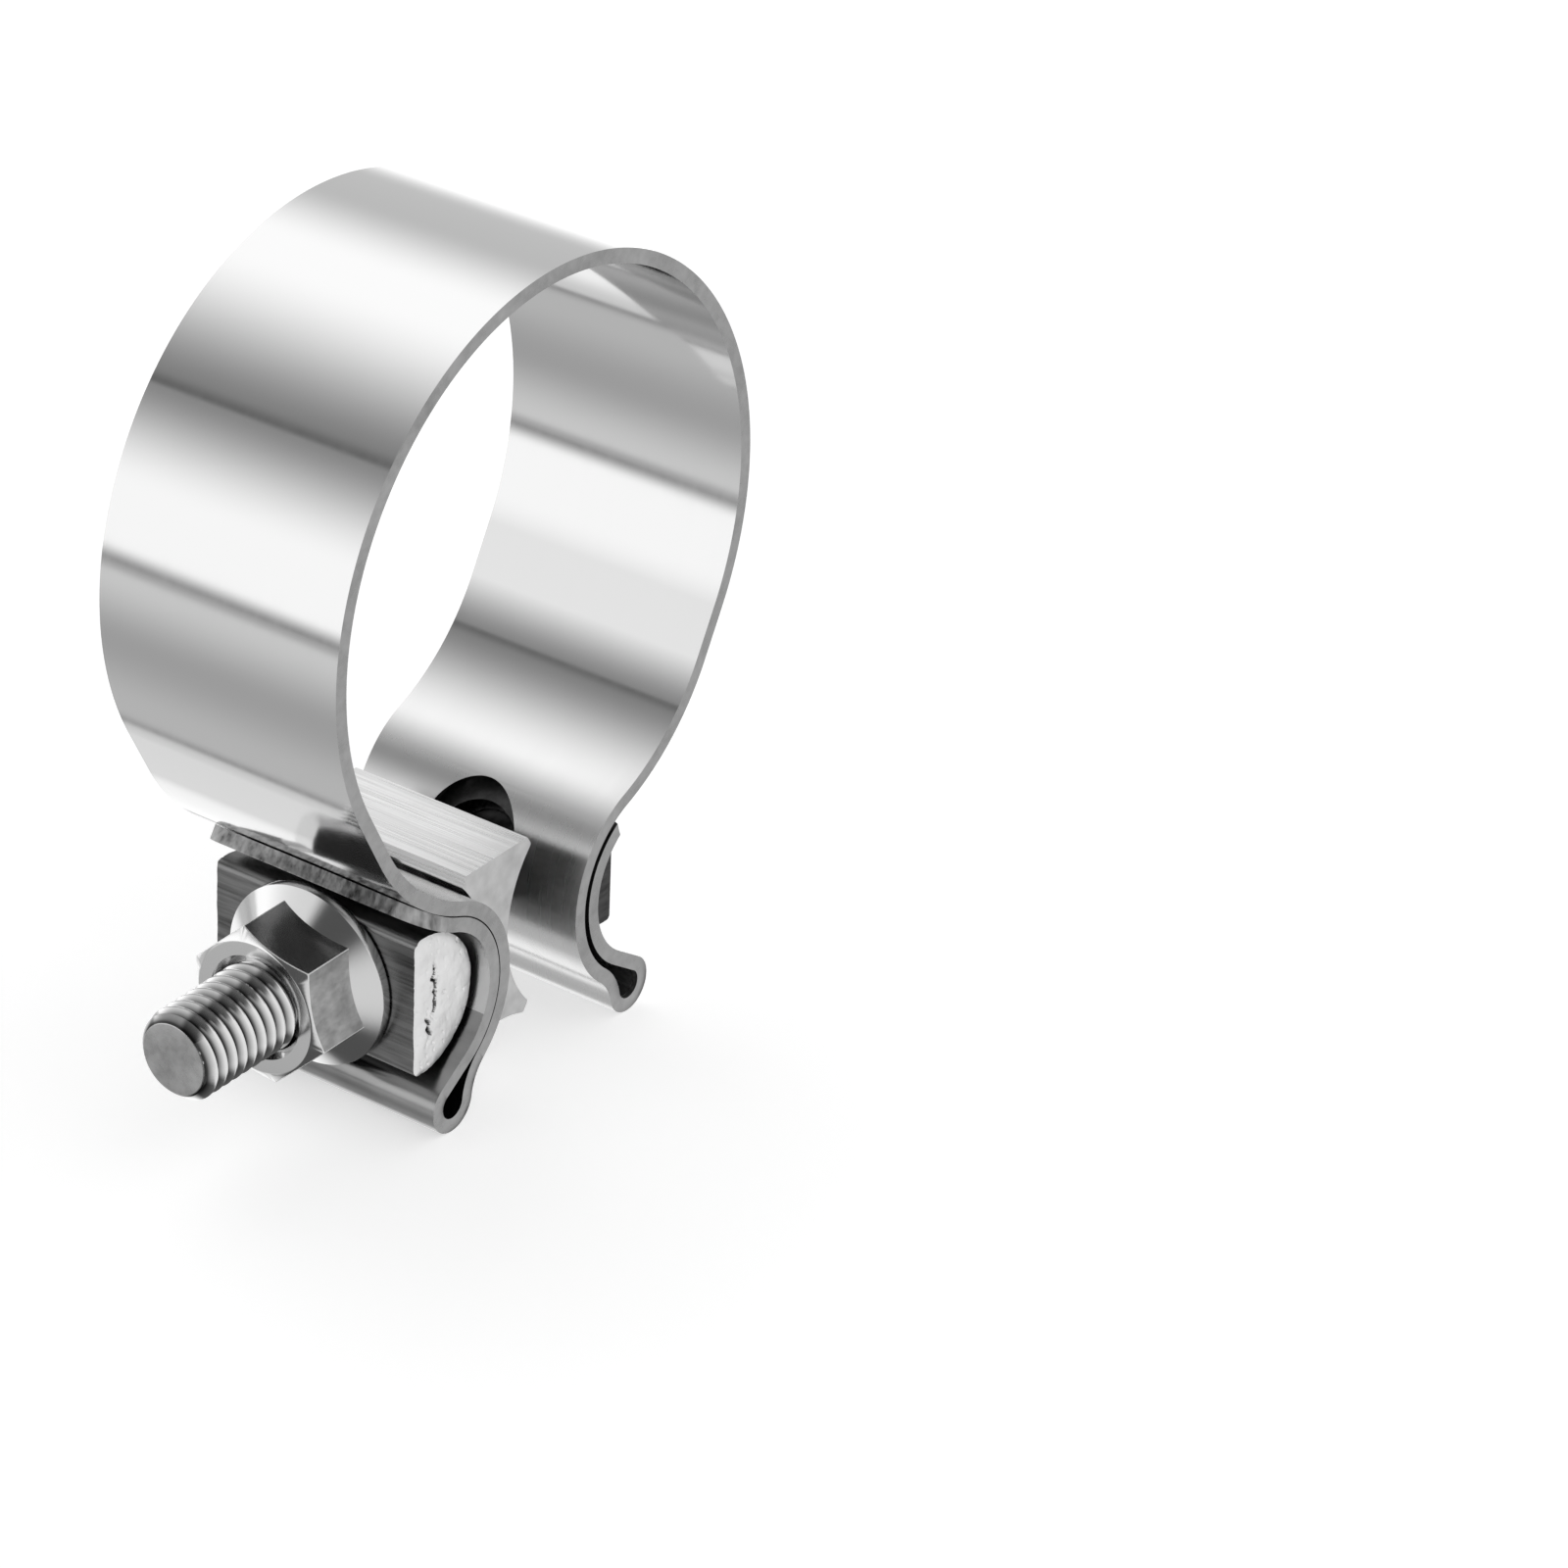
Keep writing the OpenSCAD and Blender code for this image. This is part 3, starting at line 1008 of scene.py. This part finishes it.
def half_round(centre: Point, radius: float, flat: float, corner: float, facing: int) -> list[Point]:
    """Outline of a half-round section with two rounded corners at its flat.

    Args:
        centre: Centre of its round.
        radius: Radius of its round.
        flat: Depth of its straight sides.
        corner: Radius of its corners.
        facing: 1 with the crown towards +X, -1 with the crown towards -X.

    Returns:
        Its corners in X and Z.
    """
    outline = arc((0, 0), radius, -90, 90, 72)
    outline += arc((corner - flat, radius - corner), corner, 90, 180, 8)
    outline += arc((corner - flat, corner - radius), corner, 180, 270, 8)
    return [(centre[0] + facing * x, centre[1] + z) for x, z in outline]


# ---- Reaction block


@dataclass
class ReactionBlock:
    """The waisted block between the flanges: hollow sides, chamfers and an arched foot."""

    layout: Layout = LAYOUT
    length: float = 22.8
    waist: float = 4.0
    side_r: float = 14.0
    half_h: float = 10.65
    chamfer: float = 0.9
    chamfer_w: float = 0.6
    land: float = 0.3
    arch: float = 0.9
    lean: float = 0.2

    def build(self) -> bpy.types.Object:
        """Makes the block.

        Returns:
            The finished piece.
        """
        lay = self.layout
        x = self.lean + (self.waist - lay.opening) / 2
        half = self.length / 2
        piece = prism([(x + u, lay.axis_z + v) for u, v in self._outline()], -half, half)
        combine(piece, rod(lay.hole_r, 20, Along.BOLT, (x, 0, lay.axis_z), 96))
        round_edges(piece, 0.1, angle=35)

        def end(_: Vector, normal: Vector) -> bool:
            return abs(normal.y) > 0.7

        return finish(piece, "reaction_block_steel", BLOCK_FACE, ((BLOCK_END, end),))

    def _outline(self) -> list[Point]:
        """Half of the section's corners, and their mirror image.

        Returns:
            The corners about the block's own centre, in order.
        """
        side_h = self.half_h - self.chamfer - self.land
        half_w = self.waist / 2 + self.side_r - math.sqrt(self.side_r**2 - side_h**2)
        tip_w = half_w - self.chamfer_w
        turn = math.degrees(math.asin(side_h / self.side_r))
        hollow = arc((self.waist / 2 + self.side_r, 0), self.side_r, 180 + turn, 180 - turn, 30)
        right = [(tip_w, -self.half_h), (half_w, self.chamfer - self.half_h), *hollow]
        right += [(half_w, self.half_h - self.chamfer), (tip_w, self.half_h)]
        left = [(-u, v) for u, v in reversed(right)]
        arch_half = tip_w - self.land
        arch_r = (arch_half**2 + self.arch**2) / (2 * self.arch)
        spread = math.degrees(math.asin(arch_half / arch_r))
        foot = arc((0, self.arch - self.half_h - arch_r), arch_r, 90 + spread, 90 - spread, 16)
        return right + left + foot


# ---- Thread, bolt and nut


@dataclass(frozen=True)
class Thread:
    """A right-hand thread about the bolt's axis."""

    crest_r: float
    root_r: float
    crest_w: float
    pitch: float = 1.5
    flank: float = 30.0
    soft: float = 0.06
    steps: int = 72

    def solid(self, x_from: float, x_to: float, axis_z: float) -> bpy.types.Object:
        """A threaded rod with flat ends.

        Args:
            x_from: Where it starts.
            x_to: Where it ends.
            axis_z: Height of its axis.

        Returns:
            The closed rod.
        """
        first = math.floor(x_from / self.pitch) - 2
        turns = math.ceil(x_to / self.pitch) + 2 - first
        rod_wire = wire([(first * self.pitch + x, 0, r) for x, r in self._tooth()], closed=False)
        modify(
            rod_wire, "SCREW", axis="X", angle=math.tau, steps=self.steps, render_steps=self.steps,
            iterations=turns, screw_offset=self.pitch, use_merge_vertices=False,
        )
        rod_wire.location.z = axis_z
        settle(rod_wire)
        with editing(rod_wire, "VERT"):
            bpy.ops.mesh.remove_doubles(threshold=MERGE)
            for x, direction in ((x_from, -1), (x_to, 1)):
                bpy.ops.mesh.select_all(action="SELECT")
                bpy.ops.mesh.bisect(
                    plane_co=(x, 0, axis_z), plane_no=(direction, 0, 0), use_fill=True, clear_outer=True
                )
            turn_outwards(weld=False)
        return rod_wire

    def _tooth(self) -> list[Point]:
        """One pitch of the profile, with softened corners.

        Returns:
            Its corners in X and radius, from a root's middle to the next.
        """
        lean = math.tan(math.radians(self.flank))
        root_w = self.pitch - self.crest_w - 2 * (self.crest_r - self.root_r) * lean
        soft, half, mid = self.soft, self.pitch / 2, self.crest_w / 2
        lift = soft / lean
        left = [
            (-half, self.root_r), (-half + root_w / 2 - soft * 0.6, self.root_r),
            (-half + root_w / 2 + soft, self.root_r + lift * 0.8), (-mid - soft, self.crest_r - lift * 0.8),
            (-mid + soft * 0.5, self.crest_r),
        ]
        return left + [(-x, r) for x, r in reversed(left)]


BOLT_THREAD = Thread(crest_r=5.0, root_r=4.08, crest_w=0.2)
NUT_THREAD = Thread(crest_r=5.05, root_r=4.19, crest_w=0.3)


@dataclass
class TBolt:
    """The bolt: half-round head across its shank, plain neck and rolled thread."""

    layout: Layout = LAYOUT
    end_x: float = -41.1
    thread_end_x: float = -7.0
    # Faces beyond dark_x, the head and the end of the neck, take painted shade.
    dark_x: float = -6.0
    head_len: float = 19.0
    flat: float = 0.8
    corner: float = 0.5
    chamfer: float = 0.9

    def build(self) -> bpy.types.Object:
        """Makes the bolt.

        Returns:
            The finished piece.
        """
        lay = self.layout
        centre = lay.channel(Side.HEAD)
        half = self.head_len / 2
        piece = prism(half_round(centre, lay.half_round_r, self.flat, self.corner, -1), -half, half)
        neck = turned(
            [(self.thread_end_x, 0), (self.thread_end_x, 4.3), (self.thread_end_x + 0.7, lay.bolt_r),
             (centre[0] - 3, lay.bolt_r), (centre[0] - 3, 0)],
            lay.axis_z, 96,
        )
        combine(piece, neck, "UNION")
        round_edges(piece, 0.15, angle=35)
        shank = BOLT_THREAD.solid(self.end_x - 1, self.thread_end_x + 0.4, lay.axis_z)
        tip = lay.bolt_r - self.chamfer - 0.1
        envelope = turned(
            [(self.end_x, 0), (self.end_x, tip - 0.12), (self.end_x + 0.06, tip),
             (self.end_x + self.chamfer + 0.2, lay.bolt_r + 0.1), (self.thread_end_x + 0.3, lay.bolt_r + 0.1),
             (self.thread_end_x + 0.3, 0)],
            lay.axis_z, 96,
        )
        combine(shank, envelope, "INTERSECT")
        combine(piece, shank, "UNION")

        def end(place: Vector, normal: Vector) -> bool:
            return place.x < self.end_x + 0.1 and abs(normal.x) > 0.6

        # The head and the end of its neck get the painted shade.
        def head(place: Vector, _: Vector) -> bool:
            return place.x > self.dark_x

        return finish(piece, "t_bolt_steel", THREAD, ((BOLT_FACE, end), (HEAD_PAINTED_SHADE, head)))


@dataclass
class FlangeNut:
    """The nut: hexagon on a coned flange, threaded and countersunk."""

    layout: Layout = LAYOUT
    across_flats: float = 15.3
    height: float = 9.5
    flange_r: float = 10.2
    rim: float = 1.4
    slope: float = 33.0
    face_inset: float = 0.25
    face_slope: float = 30.0
    cone_inset: float = 0.45
    mouth: float = 0.8
    edge: float = 0.2
    turn: float = -13.6
    play: float = 0.05

    @property
    def seat_x(self) -> float:
        """Place of the nut's seat on the bar."""
        return self.layout.bar_flat_x - self.play

    def build(self) -> bpy.types.Object:
        """Makes the nut.

        Returns:
            The finished piece.
        """
        lay = self.layout
        seat, front = self.seat_x, self.seat_x - self.height
        half_af = self.across_flats / 2
        corner_r = half_af / math.cos(math.radians(HALF_SIDE))
        piece = rod(corner_r, self.height, Along.BOLT, ((seat + front) / 2, 0, lay.axis_z), 6)
        spin = Matrix.Rotation(math.radians(HALF_SIDE + self.turn), 4, "X")
        shift = Matrix.Translation((0, 0, lay.axis_z))
        piece.data.transform(shift @ spin @ shift.inverted())
        face_r = half_af - self.face_inset
        full_r = face_r + self.height / math.tan(math.radians(self.face_slope))
        cone = turned([(front, 0), (front, face_r), (seat, full_r), (seat, 0)], lay.axis_z)
        combine(piece, cone, "INTERSECT")
        round_edges(piece, self.edge, angle=25)
        top_r = half_af - self.cone_inset
        rise = (self.flange_r - top_r) * math.tan(math.radians(self.slope))
        skirt = turned(
            [(seat, 0), (seat, self.flange_r - 0.5), (seat - 0.15, self.flange_r - 0.12),
             (seat - 0.45, self.flange_r), (seat - self.rim + 0.2, self.flange_r),
             (seat - self.rim, self.flange_r - 0.06), (seat - self.rim - rise, top_r),
             (seat - self.rim - rise, 0)],
            lay.axis_z,
        )
        combine(piece, skirt, "UNION")
        minor_r = NUT_THREAD.root_r + 0.06
        mouth_r = NUT_THREAD.crest_r + self.mouth
        depth = mouth_r - minor_r
        bore = turned(
            [(front - 1, 0), (front - 1, mouth_r + 1), (front + depth, minor_r), (seat - depth, minor_r),
             (seat + 1, mouth_r + 1), (seat + 1, 0)],
            lay.axis_z, 112,
        )
        combine(piece, bore)
        combine(piece, NUT_THREAD.solid(front - 1.1, seat + 1.2, lay.axis_z))

        def flat_at(angle: float) -> FaceTest:
            """Test for the flat that faces -Y, raised by an angle towards +Z."""
            out = Vector((0, -math.cos(math.radians(angle)), math.sin(math.radians(angle))))
            return lambda place, normal: normal.dot(out) > 0.97 and place.x < seat - self.rim

        # Rounded edges of the hexagon, which take the painted highlight.
        def edge(place: Vector, normal: Vector) -> bool:
            out = math.hypot(place.y, place.z - lay.axis_z)
            if out < mouth_r + 0.2 or place.x > seat - self.rim - rise * 0.4:
                return False
            round_it = math.degrees(math.atan2(normal.z, normal.y)) - self.turn
            off_flat = abs((round_it + HALF_SIDE) % (2 * HALF_SIDE) - HALF_SIDE)
            return -0.8 < normal.x < -0.12 or (abs(normal.x) <= 0.12 and off_flat > 6)

        # The upper flat takes the painted dark reflection.
        upper = flat_at(2 * HALF_SIDE - self.turn)
        looks = ((NUT_FLAT, flat_at(-self.turn)), (NUT_SHADE, upper), (NUT_EDGE_HIGHLIGHT, edge))
        return finish(piece, "flange_nut_steel", NUT_POLISH, looks)


# ---- Studio


@dataclass(frozen=True)
class PhotoCamera:
    """The photograph's viewpoint: a turn from +Y towards +X, a height, a roll and a long lens."""

    azimuth: float = 55.873
    elevation: float = 29.894
    roll: float = 2.722
    focal_px: float = 5852.8
    frame_px: float = 1600.0
    offset: tuple[float, float, float] = (-35.464, 25.672, 581.552)

    def build(self) -> None:
        """Makes the camera and gives it to the scene."""
        a, e, r = (math.radians(v) for v in (self.azimuth, self.elevation, self.roll))
        right = Vector((math.cos(a), -math.sin(a), 0))
        ahead = Vector((math.sin(a) * math.cos(e), math.cos(a) * math.cos(e), -math.sin(e)))
        up = right.cross(ahead)
        rows = Matrix((
            right * math.cos(r) + up * math.sin(r), up * math.cos(r) - right * math.sin(r), ahead,
        ))
        lens = bpy.data.cameras.new("photo_camera")
        lens.sensor_width = 36.0
        lens.sensor_fit = "HORIZONTAL"
        lens.lens = self.focal_px / self.frame_px * lens.sensor_width
        camera = bpy.data.objects.new("photo_camera", lens)
        bpy.context.scene.collection.objects.link(camera)
        turn = Matrix((rows[0], rows[1], -rows[2])).transposed()
        place = -(rows.transposed() @ Vector(self.offset)) * MM
        camera.matrix_world = Matrix.Translation(place) @ turn.to_4x4()
        lens.clip_start, lens.clip_end = 0.01, 20.0
        bpy.context.scene.camera = camera


@dataclass(frozen=True)
class Card:
    """A long card in the light tent, hung along the pipe between two directions round it.

    Directions and edge widths are in degrees, from +X over +Z.
    """

    start: float
    end: float
    level: float
    soft_start: float
    soft_end: float

    def inside(self, nodes: Nodes, turn: bpy.types.NodeSocket) -> bpy.types.NodeSocket:
        """1 where a direction is on the card, falling to 0 across its soft edges."""
        edges = ((self.start, self.soft_start / 2), (self.end, -self.soft_end / 2))
        return nodes.math("MULTIPLY", *(nodes.ease(turn, at - half, at + half) for at, half in edges))


KEY_SIDE = Card(-34, 0, 1.5, 12, 24)
TOP_FLAG = Card(70, 133, 0.3, 4, 3)
THIN_FLAG_TOP = Card(130, 133, 0.16, 5, 2.5)
LEFT_SHADE = Card(133, 197, 0.34, 3, 2)
KEY_TOP = Card(48, 104, 1.46, 32, 56)
KEY_LEFT = Card(150, 193, 1.4, 38, 7)
LOW_SHADE = Card(197, 268, 0.5, 2, 3)
FILL_LEFT = Card(199, 213, 0.86, 4, 26)
FILL_LOW = Card(240, 262, 0.66, 26, 5)
THIN_FLAG_LOW = Card(263.5, 265.5, 0.36, 2.5, 2.5)
FLOOR_RISE = Card(266, 311, 0.85, 3, 1)
FLOOR_GLOW = Card(275, 311, 1.25, 14, 1)


@dataclass(frozen=True)
class LightTent:
    """A tent of soft light round the clamp, with a plain wall in front and dark flags between.

    The flags lie either side of the plane across the pipe, and draw the dark outlines of the edges.
    A bright slit in them lights what faces up and towards the bolt's head.
    """

    base: float = 0.72
    front: float = 0.85
    flags: float = 0.1
    flags_behind: Point = (0.22, 0.43)
    flags_ahead: Point = (-0.18, -0.42)
    seam: float = -50.0
    slit: Card = Card(29, 59, 1.3, 22, 22)
    cards: tuple[Card, ...] = (
        KEY_SIDE, TOP_FLAG, LEFT_SHADE, KEY_TOP, KEY_LEFT, LOW_SHADE, FILL_LEFT, FILL_LOW,
        FLOOR_RISE, FLOOR_GLOW, THIN_FLAG_TOP, THIN_FLAG_LOW,
    )

    def build(self) -> None:
        """Lights the scene's world, and shows white to the camera."""
        world = bpy.data.worlds.new("light_tent")
        world.use_nodes = True
        bpy.context.scene.world = world
        nodes = Nodes(world.node_tree)
        axes = nodes.add("SeparateXYZ", {0: nodes.add("TexCoord").outputs["Generated"]}).outputs
        turn = nodes.math("DEGREES", nodes.math("ARCTAN2", axes["Z"], axes["X"]))
        turn = nodes.math("WRAP", turn, self.seam + 360, self.seam)
        level: object = self.base
        for card in self.cards:
            level = nodes.mix(card.inside(nodes, turn), level, card.level)
        dark = nodes.mix(self.slit.inside(nodes, turn), self.flags, self.slit.level)
        level = nodes.mix(nodes.ease(axes["Y"], *self.flags_behind), dark, level)
        level = nodes.mix(nodes.ease(axes["Y"], *self.flags_ahead), level, self.front)
        tent = nodes.add("Background", {0: grey(1.0), 1: level})
        white = nodes.add("Background", {0: grey(1.0), 1: 1.0})
        seen = nodes.add("LightPath").outputs["Is Camera Ray"]
        both = nodes.add("MixShader", {0: seen, 1: tent.outputs[0], 2: white.outputs[0]})
        nodes.add("OutputWorld", {0: both.outputs[0]})


@dataclass(frozen=True)
class Floor:
    """A wide pale floor that the clamp stands on."""

    half: float = 3.0
    albedo: float = 0.8
    glow: float = 0.53

    def build(self, height: float) -> None:
        """Lays the floor, and keeps it out of glossy rays.

        Args:
            height: Its level, in metres.
        """
        bpy.ops.mesh.primitive_grid_add(
            x_subdivisions=2, y_subdivisions=2, size=2 * self.half, location=(0, 0, height)
        )
        floor = settle(bpy.context.object)
        floor.name = "studio_floor"
        floor.visible_glossy = False
        paint = bpy.data.materials.new("studio_floor")
        paint.use_nodes = True
        nodes = Nodes(paint.node_tree)
        matt = nodes.add("BsdfDiffuse", {0: grey(self.albedo)})
        seen = nodes.add("LightPath").outputs["Is Camera Ray"]
        glow = nodes.add("Emission", {0: grey(1.0), 1: nodes.math("MULTIPLY", seen, self.glow)})
        both = nodes.add("AddShader", {0: matt.outputs[0], 1: glow.outputs[0]})
        nodes.add("OutputMaterial", {0: both.outputs[0]})
        floor.data.materials.append(paint)


# ---- Assembly


@dataclass(frozen=True)
class Seat:
    """Where a built piece belongs: the node that it stands for and the body that it rides on."""

    maker: object
    node: str
    body: str


@dataclass
class Clamp:
    """The whole clamp, piece by piece."""

    seats: tuple[Seat, ...] = field(default_factory=lambda: (
        Seat(Band(), "band", "clamp_band"),
        Seat(SpacerBar(), "spacer_bar", "clamp_band"),
        Seat(ReactionBlock(), "reaction_block", "block"),
        Seat(TBolt(), "t_bolt", "bolt"),
        Seat(FlangeNut(), "flange_nut", "nut"),
    ))

    def build(self) -> None:
        """Builds every piece, seats it on its body and reports it."""
        for seat in self.seats:
            piece = seat.maker.build()
            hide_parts(seat.node)
            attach(piece, seat.body)
            piece.data.calc_loop_triangles()
            log.info(
                "%s: %d faces, %d triangles, %d open edges, rides on %s", piece.name,
                len(piece.data.polygons), len(piece.data.loop_triangles), open_edges(piece), seat.body,
            )


def main() -> None:
    """Builds the clamp and its studio."""
    logging.basicConfig(level=logging.INFO, format="%(message)s")
    bpy.context.scene.view_settings.view_transform = "Standard"
    Clamp().build()
    PhotoCamera().build()
    LightTent().build()
    Floor().build(CAD_BOX[0][2])
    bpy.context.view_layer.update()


if __name__ == "__main__":
    main()
